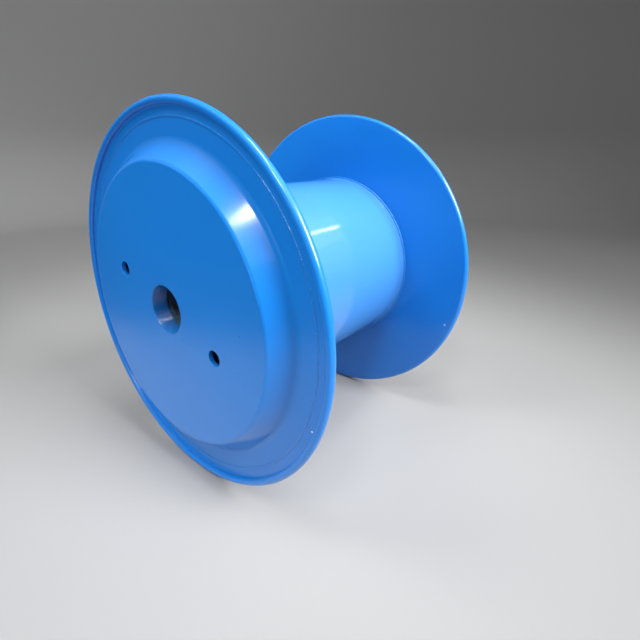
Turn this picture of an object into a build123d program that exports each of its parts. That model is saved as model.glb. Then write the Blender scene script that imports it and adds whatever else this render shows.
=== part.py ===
"""Pressed-steel wire bobbin, lying on its two flange rims with its axis level.

Millimetres. The axis runs along Y, +Z is up, and the front flange faces -Y.
The origin is on the floor, below the middle of the bobbin.
"""

import os

from build123d import *

# Overall sizes
flange_diameter = 1000.0
traverse = 655.0
barrel_diameter = 570.0

# Inner flange disc with its rolled rim
flange_sheet = 3.0
rim_roll_radius = 10.0
lip_width = 20.0
fold_gap = 0.3

# Outer cover
cover_sheet = 3.0
seam_gap = 1.5
plateau_height = 45.0
cover_ring_width = 49.8
shoulder_width = 43.0
plateau_edge_radius = 10.0
shoulder_foot_radius = 18.0

# Barrel
barrel_sheet = 4.0
bell_rise = 5.0
bell_length = 40.0

# Hub rings and centre tube
bore_diameter = 127.0
bore_land = 41.0
bore_edge_radius = 1.5
hub_spigot_wall = 6.5
hub_body_wall = 31.5
tube_diameter = 159.0
tube_wall = 6.0
weld_clearance = 0.2

# Drive holes and the bushes behind them
drive_sides = ("right", "left")
drive_pitch_diameter = 400.0
drive_hole_diameter = 40.0
drive_line_tilt = -22.0
drive_bush_wall = 10.0
drive_bush_depth = 8.0
drive_edge_radius = 1.0

# Heights along the outward axis of a flange, from the middle of its rim roll
winding_face = -rim_roll_radius
disc_back = winding_face + flange_sheet
lip_face = disc_back + fold_gap + flange_sheet
cover_ring_face = disc_back + cover_sheet
plateau_back = plateau_height - cover_sheet
tube_seat = plateau_height - bore_land

# Radii and lengths shared by pieces that meet
flange_radius = flange_diameter / 2
roll_centre = flange_radius - rim_roll_radius
lip_edge = roll_centre - rim_roll_radius - abs(lip_face) - lip_width
cover_edge = lip_edge - seam_gap
shoulder_foot = cover_edge - cover_ring_width
plateau_radius = shoulder_foot - shoulder_width
bore_radius = bore_diameter / 2
spigot_radius = bore_radius + hub_spigot_wall
hub_radius = bore_radius + hub_body_wall
tube_radius = tube_diameter / 2
drive_radius = drive_hole_diameter / 2
roll_spacing = traverse + 2 * rim_roll_radius


def turned(profile):
    """Turn a profile, drawn as radius and height, about the bobbin's axis."""
    return revolve(Plane.XZ * profile, Axis.Z, 360)


def sheet_profile(surface, thickness, side):
    """Profile of a sheet that has one surface along the given line and its metal on one side of it."""
    return make_face(offset(surface, thickness, side=side, closed=True))


def drive_places():
    """The drive holes, evenly spaced round the axis."""
    return PolarLocations(drive_pitch_diameter / 2, len(drive_sides), start_angle=drive_line_tilt)


def flange_disc():
    """Winding-side sheet: flat, rolled outwards into the rim, then folded back to a flat lip."""
    hole = tube_radius + weld_clearance
    flat = Line((hole, winding_face), (roll_centre, winding_face))
    roll = JernArc(flat @ 1, flat % 1, rim_roll_radius, 270)
    foot = JernArc(roll @ 1, roll % 1, abs(lip_face), -90)
    lip = Line(foot @ 1, (lip_edge, lip_face))
    surface = Wire([flat, roll, foot, lip])
    return turned(sheet_profile(surface, flange_sheet, Side.LEFT))


def cover():
    """Dished outer sheet: flat ring, sloping shoulder and raised plateau with its three holes."""
    surface = FilletPolyline(
        (spigot_radius + weld_clearance, plateau_height),
        (plateau_radius, plateau_height),
        (shoulder_foot, cover_ring_face),
        (cover_edge, cover_ring_face),
        radius=(plateau_edge_radius, shoulder_foot_radius),
    )
    dish = turned(sheet_profile(surface, cover_sheet, Side.RIGHT))
    punch = Cylinder(drive_radius, plateau_height)
    holes = Part() + [Pos(0, 0, plateau_height) * place * punch for place in drive_places()]
    punched = dish - holes
    rims = new_edges(dish, holes, combined=punched)
    return fillet(rims.group_by(Axis.Z)[-1], drive_edge_radius)


def barrel():
    """Rolled drum between the winding faces, belled outwards where it meets each flange."""
    radius = barrel_diameter / 2
    half = traverse / 2
    straight = Line((radius, bell_length - half), (radius, half - bell_length))
    top_bell = TangentArc(straight @ 1, (radius + bell_rise, half), tangent=straight % 1)
    low_bell = TangentArc(straight @ 0, (radius + bell_rise, -half), tangent=-(straight % 0))
    surface = Wire([low_bell, straight, top_bell])
    drum = sheet_profile(surface, barrel_sheet, Side.RIGHT)
    return turned(drum & Pos(radius, 0) * Rectangle(radius, traverse))


def hub_ring():
    """Thick ring: the bore's wall, a spigot through the cover, and a socket for the centre tube."""
    socket = tube_radius + weld_clearance
    profile = Polyline(
        (bore_radius, tube_seat),
        (bore_radius, plateau_height),
        (spigot_radius, plateau_height),
        (spigot_radius, plateau_back),
        (hub_radius, plateau_back),
        (hub_radius, disc_back),
        (socket, disc_back),
        (socket, tube_seat),
        close=True,
    )
    ring = turned(make_face(profile))
    mouth = ring.edges().filter_by(GeomType.CIRCLE).group_by(Axis.Z)[-1].sort_by(SortBy.RADIUS)[0]
    return fillet(mouth, bore_edge_radius)


def centre_tube():
    """Steel tube through both inner discs, seated in the hub rings' sockets."""
    length = roll_spacing + 2 * tube_seat
    return Cylinder(tube_radius, length) - Cylinder(tube_radius - tube_wall, length)


def drive_bush():
    """Ring behind the cover that deepens a drive hole."""
    ring = Cylinder(drive_radius + drive_bush_wall, drive_bush_depth)
    ring -= Cylinder(drive_radius, drive_bush_depth)
    return Pos(0, 0, plateau_back - drive_bush_depth / 2) * ring


def build():
    """Every piece in its place, by name."""
    on_axis = Pos(0, 0, flange_radius) * Rot(90, 0, 0)
    front = on_axis * Pos(0, 0, roll_spacing / 2)
    pieces = {
        "barrel": on_axis * barrel(),
        "centre_tube": on_axis * centre_tube(),
    }
    flange = {"flange_disc": flange_disc(), "cover": cover(), "hub_ring": hub_ring()}
    for place, side in zip(drive_places(), drive_sides):
        flange["drive_bush_" + side] = place * drive_bush()
    for name, piece in flange.items():
        placed = front * piece
        pieces["front_" + name] = placed
        pieces["rear_" + name] = mirror(placed, about=Plane.XZ)
    return pieces


os.makedirs("parts", exist_ok=True)
for name, piece in build().items():
    export_step(piece, os.path.join("parts", name + ".step"))
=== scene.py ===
"""Looks of the wire bobbin: blue gloss enamel on pressed steel, rippled welds and a bare, rusty tube.

Metres, in the model's own frame: the axis runs along Y, +Z is up and the front flange faces -Y.
"""

import math

import bmesh
import bpy
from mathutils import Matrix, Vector


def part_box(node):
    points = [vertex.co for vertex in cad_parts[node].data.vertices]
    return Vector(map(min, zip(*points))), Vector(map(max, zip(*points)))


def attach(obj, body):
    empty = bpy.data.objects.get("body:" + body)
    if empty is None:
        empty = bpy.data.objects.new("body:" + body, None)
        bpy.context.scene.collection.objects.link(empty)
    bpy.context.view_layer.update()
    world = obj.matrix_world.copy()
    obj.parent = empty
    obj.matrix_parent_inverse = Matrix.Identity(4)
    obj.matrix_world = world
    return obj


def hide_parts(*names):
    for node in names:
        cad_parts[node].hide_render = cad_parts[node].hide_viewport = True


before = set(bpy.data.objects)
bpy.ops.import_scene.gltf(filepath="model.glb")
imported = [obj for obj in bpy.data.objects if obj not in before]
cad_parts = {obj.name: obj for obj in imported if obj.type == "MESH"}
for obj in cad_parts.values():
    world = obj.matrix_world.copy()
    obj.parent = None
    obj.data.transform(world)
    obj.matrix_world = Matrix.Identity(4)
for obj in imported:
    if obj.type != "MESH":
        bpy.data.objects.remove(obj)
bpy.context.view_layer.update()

MM = 0.001

# Sizes read from the model
disc_low, disc_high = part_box("front_flange_disc")
cover_low, cover_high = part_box("front_cover")
barrel_low, barrel_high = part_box("barrel")
tube_low, tube_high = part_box("centre_tube")
flange_radius = (disc_high.z - disc_low.z) / 2
axis_height = disc_low.z + flange_radius
axis_point = Vector((0, 0, axis_height))
winding_face = abs(disc_high.y)           # from the middle of the bobbin to the inner side of a disc
plateau_face = abs(cover_low.y)           # from the middle to the outer side of a cover's plateau
cover_edge_radius = (cover_high.x - cover_low.x) / 2
bell_radius = (barrel_high.x - barrel_low.x) / 2
tube_radius = (tube_high.x - tube_low.x) / 2

# Sizes of the sheet metal that the boxes don't give
disc_sheet = 3.0 * MM
tube_clearance = 0.2 * MM                 # between the tube and a disc's hole
roll_radius = 10.0 * MM                   # outside of the rolled rim
fold_radius = 3.7 * MM                    # inside of the bend from the roll back to the lip
lip_face = winding_face + roll_radius - fold_radius
seam_gap = 1.5 * MM                       # between the lip and a cover's edge

# Where the middle line of each weld runs
barrel_weld_rise = 0.8 * MM               # above the belled end of the barrel
barrel_weld_inset = 0.4 * MM              # in from the winding face
seam_weld_outset = 4.7 * MM               # out from the winding face

# One ripple of each weld, by the names of the node group's inputs
BARREL_RIPPLE = {
    "Ripples": 760, "Half width": 3.2 * MM, "Half depth": 3.2 * MM, "Half length": 4.6 * MM,
    "Wander": 0.2 * MM, "Waver": 0.0, "Lean": 0.25,
}
SEAM_RIPPLE = {
    "Ripples": 900, "Half width": 3.8 * MM, "Half depth": 2.9 * MM, "Half length": 5.6 * MM,
    "Wander": 0.22 * MM, "Waver": 0.3 * MM, "Lean": 0.15,
}


# Colours

def colour(code):
    """Linear colour of an sRGB hex value."""
    parts = [int(code[i:i + 2], 16) / 255 for i in (1, 3, 5)]
    linear = [c / 12.92 if c <= 0.04045 else ((c + 0.055) / 1.055) ** 2.4 for c in parts]
    return (*linear, 1.0)


ENAMEL_THIN = "#1279D1"
ENAMEL_THICK = "#0E72C8"
# Barrel: the same enamel made paler, painted light for the washed-out look of its strongly lit side
BARREL_PAINTED_LIGHT_THIN = "#3F83CC"
BARREL_PAINTED_LIGHT_THICK = "#397DC6"
STEEL = "#6B6660"
RUST = "#7A4420"
OVERSPRAY = "#2A7FA8"
CHIP = "#D8E2E8"
GRIT = "#0B2C55"
FLOOR = "#969696"
# Painted shade on the floor in front and to the left, so the plateau mirrors a dark floor there
FLOOR_PAINTED_SHADE = "#2A2A2A"
BLACK = "#000000"
WHITE = "#FFFFFF"

# Chips and specks of grit seen in the enamel: place, radius and colour
MARKS = (
    ((0.4389, -lip_face, 0.3194), 2.2 * MM, CHIP),
    ((0.4467, winding_face, 0.3401), 2.6 * MM, CHIP),
    ((0.2811, -plateau_face, 0.5086), 1.6 * MM, GRIT),
    ((0.0589, -plateau_face, 0.4340), 1.6 * MM, GRIT),
)
MARK_CORE, MARK_RIM = 0.8, 1.2            # a mark fades out between these shares of its radius


# Building blocks

def add(tree, kind, inputs=None, **settings):
    """Add a node. Settings are its own properties; inputs are values, or the sockets that feed it."""
    made = tree.nodes.new(kind)
    for name, value in settings.items():
        setattr(made, name, value)
    for key, value in (inputs or {}).items():
        socket = made.inputs[key]
        if isinstance(value, bpy.types.NodeSocket):
            tree.links.new(value, socket)
        else:
            socket.default_value = value
    return made


def new_material(name):
    """An empty material and its node tree."""
    material = bpy.data.materials.new(name)
    material.use_nodes = True
    material.node_tree.nodes.clear()
    return material, material.node_tree


def in_scene(name, data):
    """A new object with this data, in the scene."""
    thing = bpy.data.objects.new(name, data)
    bpy.context.scene.collection.objects.link(thing)
    return thing


def smooth_object(name, mesh):
    """An object made from a finished bmesh, shaded smooth."""
    data = bpy.data.meshes.new(name)
    mesh.to_mesh(data)
    mesh.free()
    data.polygons.foreach_set("use_smooth", [True] * len(data.polygons))
    return in_scene(name, data)


def coat(piece, material):
    """Give a piece one material."""
    piece.data.materials.clear()
    piece.data.materials.append(material)


# Materials

# Unevenness of the enamelled sheet: the size of one wave, and the height of its bump
CLOUD = 250 * MM                          # slow drift between a thin and a thick film
BUCKLE, BUCKLE_HEIGHT = 160 * MM, 0.9 * MM
DENT, DENT_HEIGHT = 45 * MM, 0.12 * MM
PEEL, PEEL_HEIGHT = 4 * MM, 0.02 * MM
TOOL_MARK = 1.6 * MM                      # coarser than a lathe leaves it, so that it shows
TOOL_MARK_HEIGHT = 0.12 * TOOL_MARK


def gloss_enamel(name, thin, thick, haze=0.17, film_index=1.5, tool_marks=False):
    """Alkyd enamel sprayed on pressed steel: even blue under a clear gloss.

    The gloss has orange peel close up, and its highlights bend a little where the sheet isn't quite flat.
    """
    material, tree = new_material(name)
    place = add(tree, "ShaderNodeTexCoord").outputs["Object"]
    film = add(tree, "ShaderNodeTexNoise", {"Vector": place, "Scale": 1 / CLOUD, "Detail": 2.0})
    tone = add(tree, "ShaderNodeMix", {
        "Factor": film.outputs["Fac"], "A": colour(thin), "B": colour(thick),
    }, data_type="RGBA")
    for spot, radius, mark in MARKS:
        away = add(tree, "ShaderNodeVectorMath", {0: place, 1: spot}, operation="DISTANCE")
        inside = add(tree, "ShaderNodeMapRange", {
            "Value": away.outputs["Value"],
            "From Min": MARK_CORE * radius, "From Max": MARK_RIM * radius, "To Min": 1.0, "To Max": 0.0,
        })
        tone = add(tree, "ShaderNodeMix", {
            "Factor": inside.outputs["Result"], "A": tone.outputs["Result"], "B": colour(mark),
        }, data_type="RGBA")
    sheet = add(tree, "ShaderNodeTexNoise", {"Vector": place, "Scale": 1 / BUCKLE, "Detail": 0.0})
    buckle = add(tree, "ShaderNodeBump", {
        "Height": sheet.outputs["Fac"], "Strength": 1.0, "Distance": BUCKLE_HEIGHT,
    })
    dents = add(tree, "ShaderNodeTexNoise", {"Vector": place, "Scale": 1 / DENT, "Detail": 1.0})
    metal = add(tree, "ShaderNodeBump", {
        "Height": dents.outputs["Fac"], "Strength": 1.0, "Distance": DENT_HEIGHT,
        "Normal": buckle.outputs["Normal"],
    })
    if tool_marks:
        along = add(tree, "ShaderNodeSeparateXYZ", {"Vector": place})
        turns = add(tree, "ShaderNodeMath", {
            0: along.outputs["Y"], 1: 2 * math.pi / TOOL_MARK,
        }, operation="MULTIPLY")
        ridge = add(tree, "ShaderNodeMath", {0: turns.outputs["Value"]}, operation="SINE")
        metal = add(tree, "ShaderNodeBump", {
            "Height": ridge.outputs["Value"], "Strength": 1.0, "Distance": TOOL_MARK_HEIGHT,
            "Normal": metal.outputs["Normal"],
        })
    peel = add(tree, "ShaderNodeTexNoise", {"Vector": place, "Scale": 1 / PEEL, "Detail": 1.0})
    skin = add(tree, "ShaderNodeBump", {
        "Height": peel.outputs["Fac"], "Strength": 1.0, "Distance": PEEL_HEIGHT,
        "Normal": metal.outputs["Normal"],
    })
    shader = add(tree, "ShaderNodeBsdfPrincipled", {
        "Base Color": tone.outputs["Result"], "Roughness": 0.5, "IOR": 1.5,
        "Specular IOR Level": 0.2, "Normal": metal.outputs["Normal"],
        "Coat Weight": 1.0, "Coat Roughness": haze, "Coat IOR": film_index,
        "Coat Normal": skin.outputs["Normal"],
    })
    add(tree, "ShaderNodeOutputMaterial", {"Surface": shader.outputs["BSDF"]})
    return material


def bare_tube():
    """Mill-finish steel, rust-stained: dull grey-brown behind the bright bore.

    Blue overspray drifted in from both ends and thins out inwards, in specks.
    """
    rust_patch, spray_speck = 12 * MM, 6 * MM
    spray_start, spray_end = 255 * MM, 345 * MM        # from the middle out to the mouths of the tube
    material, tree = new_material("mill_steel_with_rust")
    place = add(tree, "ShaderNodeTexCoord").outputs["Object"]
    stains = add(tree, "ShaderNodeTexNoise", {"Vector": place, "Scale": 1 / rust_patch, "Detail": 5.0})
    rusted = add(tree, "ShaderNodeMapRange", {
        "Value": stains.outputs["Fac"], "From Min": 0.42, "From Max": 0.6,
    })
    metal = add(tree, "ShaderNodeMix", {
        "Factor": rusted.outputs["Result"], "A": colour(STEEL), "B": colour(RUST),
    }, data_type="RGBA")
    along = add(tree, "ShaderNodeSeparateXYZ", {"Vector": place})
    inward = add(tree, "ShaderNodeMath", {0: along.outputs["Y"]}, operation="ABSOLUTE")
    reach = add(tree, "ShaderNodeMapRange", {
        "Value": inward.outputs["Value"], "From Min": spray_start, "From Max": spray_end,
        "To Min": -0.4, "To Max": 0.25,
    })
    mist = add(tree, "ShaderNodeTexNoise", {"Vector": place, "Scale": 1 / spray_speck, "Detail": 3.0})
    drops = add(tree, "ShaderNodeMath", {0: reach.outputs["Result"], 1: mist.outputs["Fac"]})
    spray = add(tree, "ShaderNodeMapRange", {
        "Value": drops.outputs["Value"], "From Min": 0.5, "From Max": 0.75,
    })
    tone = add(tree, "ShaderNodeMix", {
        "Factor": spray.outputs["Result"], "A": metal.outputs["Result"], "B": colour(OVERSPRAY),
    }, data_type="RGBA")
    bare = add(tree, "ShaderNodeMath", {
        0: 0.6, 1: spray.outputs["Result"],
    }, operation="SUBTRACT", use_clamp=True)
    shader = add(tree, "ShaderNodeBsdfPrincipled", {
        "Base Color": tone.outputs["Result"], "Roughness": 0.6, "Metallic": bare.outputs["Value"],
    })
    add(tree, "ShaderNodeOutputMaterial", {"Surface": shader.outputs["BSDF"]})
    return material


def studio_floor():
    """Matt pale paper with painted shade: darker in front on the left, where the plateau mirrors it."""
    ahead_on_left, straight_ahead = (-0.45, -0.89, 0.0), (0.0, -1.0, 0.0)
    material, tree = new_material("pale_matt_floor")
    place = add(tree, "ShaderNodeTexCoord").outputs["Object"]
    shades = []
    for towards, start, end in ((ahead_on_left, 0.95, 1.45), (straight_ahead, 0.1, 1.0)):
        away = add(tree, "ShaderNodeVectorMath", {0: place, 1: towards}, operation="DOT_PRODUCT")
        shade = add(tree, "ShaderNodeMapRange", {
            "Value": away.outputs["Value"], "From Min": start, "From Max": end,
        }, interpolation_type="SMOOTHSTEP")
        shades.append(shade.outputs["Result"])
    both = add(tree, "ShaderNodeMath", {0: shades[0], 1: shades[1]}, operation="MULTIPLY")
    tone = add(tree, "ShaderNodeMix", {
        "Factor": both.outputs["Value"], "A": colour(FLOOR), "B": colour(FLOOR_PAINTED_SHADE),
    }, data_type="RGBA")
    shader = add(tree, "ShaderNodeBsdfPrincipled", {"Base Color": tone.outputs["Result"], "Roughness": 0.9})
    add(tree, "ShaderNodeOutputMaterial", {"Surface": shader.outputs["BSDF"]})
    return material


# Flange discs

ROLL_STEPS, FOLD_STEPS, DISC_TURNS = 45, 12, 360
FLAT_GUARD = 0.5 * MM                     # a point this near each bend keeps the shading of the flats flat
SHARP_EDGE = math.radians(40)             # the sheet's cut edges turn by more than this


def disc_line(depth):
    """Radius and height of points along a disc's sheet, hole to lip, at a depth below its painted side."""
    roll, fold = roll_radius - depth, fold_radius + depth
    roll_centre = flange_radius - roll_radius
    fold_centre = roll_centre - roll_radius - fold_radius
    line = [(tube_radius + tube_clearance, -roll), (roll_centre - FLAT_GUARD, -roll)]
    for i in range(ROLL_STEPS + 1):
        angle = math.radians(270 * i / ROLL_STEPS - 90)
        line.append((roll_centre + roll * math.cos(angle), roll * math.sin(angle)))
    for i in range(1, FOLD_STEPS + 1):
        angle = math.radians(-90 * i / FOLD_STEPS)
        line.append((fold_centre + fold * math.cos(angle), fold * math.sin(angle)))
    return line + [(fold_centre - FLAT_GUARD, -fold), (cover_edge_radius + seam_gap, -fold)]


def rolled_disc(end, outward, enamel):
    """Flange disc turned as one even sheet in fine steps, so that the gloss runs clean through the fold."""
    profile = disc_line(0.0) + disc_line(disc_sheet)[::-1]
    roll_plane = winding_face + roll_radius
    mesh = bmesh.new()
    rings = []
    for i in range(DISC_TURNS):
        angle = 2 * math.pi * i / DISC_TURNS
        rings.append([mesh.verts.new((
            radius * math.cos(angle), outward * (roll_plane + height), axis_height + radius * math.sin(angle),
        )) for radius, height in profile])
    for ring, after in zip(rings, rings[1:] + rings[:1]):
        for j in range(len(profile)):
            mesh.faces.new((ring[j - 1], ring[j], after[j], after[j - 1]))
    bmesh.ops.recalc_face_normals(mesh, faces=mesh.faces[:])
    piece = smooth_object(end + "_rolled_disc", mesh)
    piece.data.set_sharp_from_angle(angle=SHARP_EDGE)
    coat(piece, enamel)
    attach(piece, "root")
    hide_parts(end + "_flange_disc")


# Welds

def rippled_weld():
    """Node group for a ring of overlapping ripples, each a puddle that froze as the torch moved on."""
    group = bpy.data.node_groups.new("rippled_weld", "GeometryNodeTree")
    sockets = {}
    for name, kind in (
        ("Ring radius", "Float"), ("Ring height", "Float"), ("Ripples", "Int"),
        ("Half width", "Float"), ("Half depth", "Float"), ("Half length", "Float"),
        ("Wander", "Float"), ("Waver", "Float"), ("Lean", "Float"), ("Material", "Material"),
    ):
        made = group.interface.new_socket(name, in_out="INPUT", socket_type="NodeSocket" + kind)
        sockets[name] = made.identifier
    group.interface.new_socket("Geometry", in_out="OUTPUT", socket_type="NodeSocketGeometry")
    given = add(group, "NodeGroupInput").outputs
    ring = add(group, "GeometryNodeMeshCircle", {
        "Vertices": given["Ripples"], "Radius": given["Ring radius"],
    })

    # The torch wanders from ripple to ripple, and the bead wavers slowly in height
    drift = add(group, "FunctionNodeRandomValue", {
        "Min": (-1.0, -1.0, -1.0), "Max": (1.0, 1.0, 1.0), "Seed": 3,
    }, data_type="FLOAT_VECTOR")
    step = add(group, "ShaderNodeVectorMath", {
        0: drift.outputs["Value"], "Scale": given["Wander"],
    }, operation="SCALE")
    swing = add(group, "ShaderNodeTexNoise", {"Scale": 9.0, "Detail": 1.0}).outputs["Fac"]
    level = add(group, "ShaderNodeMapRange", {
        "Value": swing, "From Min": 0.35, "From Max": 0.65, "To Min": -1.0,
    })
    deep = add(group, "ShaderNodeMath", {
        0: level.outputs["Result"], 1: given["Waver"],
    }, operation="MULTIPLY")
    sink = add(group, "ShaderNodeCombineXYZ", {"Z": deep.outputs["Value"]})
    shift = add(group, "ShaderNodeVectorMath", {0: step.outputs["Vector"], 1: sink.outputs["Vector"]})
    path = add(group, "GeometryNodeSetPosition", {
        "Geometry": ring.outputs["Mesh"], "Offset": shift.outputs["Vector"],
    })

    # Each ripple lies along the ring, leans, and is a little larger or smaller than the next
    here = add(group, "GeometryNodeInputPosition").outputs["Position"]
    spot = add(group, "ShaderNodeSeparateXYZ", {"Vector": here})
    bearing = add(group, "ShaderNodeMath", {
        0: spot.outputs["Y"], 1: spot.outputs["X"],
    }, operation="ARCTAN2")
    turn = add(group, "ShaderNodeCombineXYZ", {"X": given["Lean"], "Z": bearing.outputs["Value"]})
    least, most, number = 2, 3, 1                # numbers of the sockets for a plain random number
    swell = add(group, "FunctionNodeRandomValue", {least: 0.88, most: 1.12, "Seed": 8}, data_type="FLOAT")
    form = add(group, "ShaderNodeCombineXYZ", {
        "X": given["Half width"], "Y": given["Half length"], "Z": given["Half depth"],
    })
    size = add(group, "ShaderNodeVectorMath", {
        0: form.outputs["Vector"], "Scale": swell.outputs[number],
    }, operation="SCALE")
    puddle = add(group, "GeometryNodeMeshUVSphere", {"Segments": 12, "Rings": 6, "Radius": 1.0})
    laid = add(group, "GeometryNodeInstanceOnPoints", {
        "Points": path.outputs["Geometry"], "Instance": puddle.outputs["Mesh"],
        "Rotation": turn.outputs["Vector"], "Scale": size.outputs["Vector"],
    })

    # The ring is stood upright around the bobbin's axis and made one painted mesh
    place = add(group, "ShaderNodeCombineXYZ", {"Y": given["Ring height"], "Z": axis_height})
    upright = add(group, "GeometryNodeTransform", {
        "Geometry": laid.outputs["Instances"], "Translation": place.outputs["Vector"],
        "Rotation": (math.pi / 2, 0.0, 0.0),
    })
    solid = add(group, "GeometryNodeRealizeInstances", {"Geometry": upright.outputs["Geometry"]})
    smooth = add(group, "GeometryNodeSetShadeSmooth", {"Geometry": solid.outputs["Geometry"]})
    painted = add(group, "GeometryNodeSetMaterial", {
        "Geometry": smooth.outputs["Geometry"], "Material": given["Material"],
    })
    add(group, "NodeGroupOutput", {"Geometry": painted.outputs["Geometry"]})
    return group, sockets


def grown(name, group, sockets, values):
    """Mesh piece grown by a node group from named values, with the modifier gone."""
    seed = in_scene(name + "_seed", bpy.data.meshes.new(name + "_seed"))
    grower = seed.modifiers.new("grow", "NODES")
    grower.node_group = group
    for key, value in values.items():
        grower[sockets[key]] = value
    graph = bpy.context.evaluated_depsgraph_get()
    mesh = bpy.data.meshes.new_from_object(seed.evaluated_get(graph), depsgraph=graph)
    bpy.data.objects.remove(seed)
    mesh.name = name
    piece = in_scene(name, mesh)
    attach(piece, "root")


def welds(enamel, thick_enamel):
    """Fillet welds between barrel and discs, and the low welds that close the seams of the covers."""
    group, sockets = rippled_weld()
    for end, outward in (("front", -1), ("rear", 1)):
        grown(end + "_barrel_weld", group, sockets, {
            **BARREL_RIPPLE, "Material": enamel,
            "Ring radius": bell_radius + barrel_weld_rise,
            "Ring height": outward * (winding_face - barrel_weld_inset),
        })
        grown(end + "_seam_weld", group, sockets, {
            **SEAM_RIPPLE, "Material": thick_enamel,
            "Ring radius": cover_edge_radius + seam_gap / 2,
            "Ring height": outward * (winding_face + seam_weld_outset),
        })


# Studio

def cove():
    """Round floor that curves up into a low wall, so that no edge shows behind the bobbin."""
    floor_radius, curve_radius, wall_height, steps, turns = 4.6, 1.2, 3.2, 12, 96
    profile = [(1.0, 0.0), (2.5, 0.0)]
    for i in range(steps + 1):
        angle = math.pi / 2 * i / steps
        profile.append((floor_radius + curve_radius * math.sin(angle), curve_radius * (1 - math.cos(angle))))
    profile.append((floor_radius + curve_radius, wall_height))
    mesh = bmesh.new()
    rings = []
    for radius, height in profile:
        angles = [2 * math.pi * i / turns for i in range(turns)]
        rings.append([mesh.verts.new((radius * math.cos(a), radius * math.sin(a), height)) for a in angles])
    mesh.faces.new(rings[0])
    for inner, outer in zip(rings, rings[1:]):
        for i in range(turns):
            j = (i + 1) % turns
            mesh.faces.new((inner[i], outer[i], outer[j], inner[j]))
    floor = smooth_object("studio_cove", mesh)
    coat(floor, studio_floor())


def soft_light(name, azimuth, elevation, distance, size, power, spread=180, mirrored=True, roll=0):
    """Soft light aimed at the bobbin: round, or rectangular when it is given two sizes.

    Angles are in degrees. Azimuth 0 is in front of the bobbin and 90 to its right. The enamel's gloss
    mirrors it or not.
    """
    data = bpy.data.lights.new(name, "AREA")
    if isinstance(size, tuple):
        data.shape = "RECTANGLE"
        data.size, data.size_y = size
    else:
        data.shape = "DISK"
        data.size = size
    data.energy = power
    data.spread = math.radians(spread)
    light = in_scene(name, data)
    a, e = math.radians(azimuth), math.radians(elevation)
    away = Vector((math.sin(a) * math.cos(e), -math.cos(a) * math.cos(e), math.sin(e)))
    light.location = axis_point + away * distance
    light.rotation_euler = (-away).to_track_quat("-Z", "Y").to_euler()
    light.rotation_euler.rotate_axis("Z", math.radians(roll))
    light.visible_camera = False
    light.visible_glossy = mirrored


def studio_lights():
    """Six lights from the right, overhead and behind, and three fills from the left that no gloss mirrors.

    The lamp and its wider glow make the spot on the front shoulder. The light overhead draws the lines on
    the rolled edge and the seam, and the strip behind draws the one on the barrel.
    """
    soft_light("key", 96, 34, 4.2, (1.8, 1.8), 45, spread=60)
    soft_light("softbox_right", 144, 24, 4.4, (5.0, 3.6), 3, spread=70)
    soft_light("overhead", 56, 77, 3.4, 0.9, 6, spread=60)
    soft_light("glow", 31, 49, 3.8, 1.7, 0.8, spread=60)
    soft_light("fill", -42, 56, 4.2, (1.4, 1.4), 8.5, spread=60, mirrored=False)
    soft_light("low_front", -12, 8, 4.2, (1.6, 1.2), 9, spread=60, mirrored=False)
    soft_light("left", -74, 28, 4.2, (1.6, 1.6), 6, spread=60, mirrored=False)
    soft_light("lamp", 30, 50, 3.6, 0.5, 27)
    soft_light("strip", 154, 35, 3.56, (0.17, 0.62), 3.5, roll=50)


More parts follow.
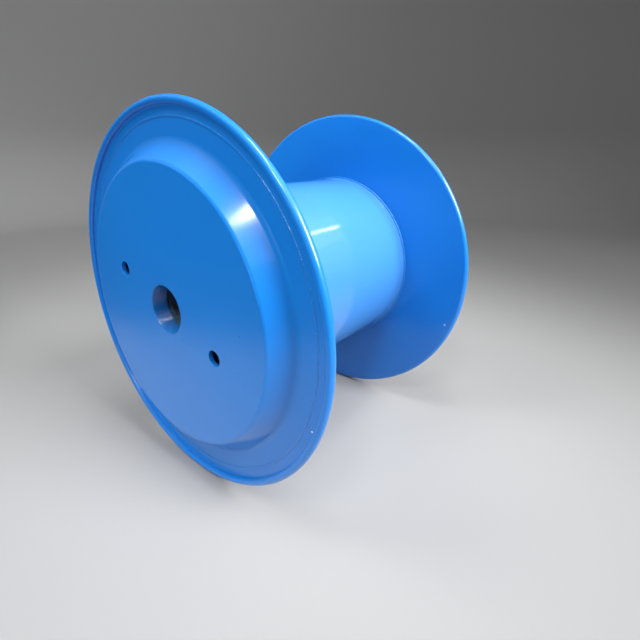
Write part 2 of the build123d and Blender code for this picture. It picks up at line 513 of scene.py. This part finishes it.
def studio_air():
    """Air that is dim all round and bright high up on the right."""
    brightest = (0.70, 0.05, 0.71)
    glow_edge = 0.4                       # cosine of the angle from there at which the glow ends
    dim, strength = 0.06, 1.5
    world = bpy.data.worlds.new("studio_air")
    world.use_nodes = True
    tree = world.node_tree
    toward = add(tree, "ShaderNodeTexCoord").outputs["Generated"]
    facing = add(tree, "ShaderNodeVectorMath", {0: toward, 1: brightest}, operation="DOT_PRODUCT")
    glow = add(tree, "ShaderNodeMapRange", {
        "Value": facing.outputs["Value"], "From Min": glow_edge, "From Max": 1.0, "To Min": dim,
    }, interpolation_type="SMOOTHSTEP")
    sky = add(tree, "ShaderNodeMix", {
        "Factor": glow.outputs["Result"], "A": colour(BLACK), "B": colour(WHITE),
    }, data_type="RGBA")
    tree.links.new(sky.outputs["Result"], tree.nodes["Background"].inputs["Color"])
    tree.nodes["Background"].inputs["Strength"].default_value = strength
    bpy.context.scene.world = world


def camera():
    """The photo's viewpoint: close by, a little above the axis, looking down at the front flange."""
    place = (0.905, -0.8805, 0.8782)
    down, left = 17.882, 39.115                  # degrees below level, and left of straight ahead
    lens, sensor_width = 22.952, 36              # millimetres
    picture_width, centre_rise = 640, 36.5       # pixels; the lens looks at a point that far above the middle
    data = bpy.data.cameras.new("viewpoint")
    data.lens = lens
    data.sensor_width = sensor_width
    data.shift_y = -centre_rise / picture_width
    eye = in_scene("viewpoint", data)
    eye.location = place
    eye.rotation_euler = (math.radians(90 - down), 0, math.radians(left))
    bpy.context.scene.camera = eye


# Pressed sheet: even blue, with broad, slightly hazy highlights
enamel = gloss_enamel("blue_gloss_enamel", ENAMEL_THIN, ENAMEL_THICK)
# Lathe-turned rings: fine ridges break the gloss in the bore into thin bands
turned_enamel = gloss_enamel(
    "gloss_enamel_on_turned_steel", ENAMEL_THIN, ENAMEL_THICK, film_index=1.9, tool_marks=True,
)
# Seam welds: a thick, wet-looking film that glints on each ripple
weld_enamel = gloss_enamel(
    "thick_gloss_enamel_on_weld", ENAMEL_THIN, ENAMEL_THICK, haze=0.05, film_index=1.8,
)
# Rolled sheet of the barrel: the enamel painted paler, as painted light for the washed-out look strong light
# gives it, with a sharper gloss, which shows a streak of light
barrel_enamel_painted_light = gloss_enamel("blue_gloss_enamel_painted_lighter", BARREL_PAINTED_LIGHT_THIN, BARREL_PAINTED_LIGHT_THICK, haze=0.1)

FINISHES = {
    "barrel": barrel_enamel_painted_light,
    "centre_tube": bare_tube(),
    "front_hub_ring": turned_enamel,
    "rear_hub_ring": turned_enamel,
}
for name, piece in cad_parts.items():
    coat(piece, FINISHES.get(name, enamel))
rolled_disc("front", -1, enamel)
rolled_disc("rear", 1, enamel)
welds(enamel, weld_enamel)
cove()
studio_lights()
studio_air()
camera()
bpy.context.scene.view_settings.view_transform = "Standard"
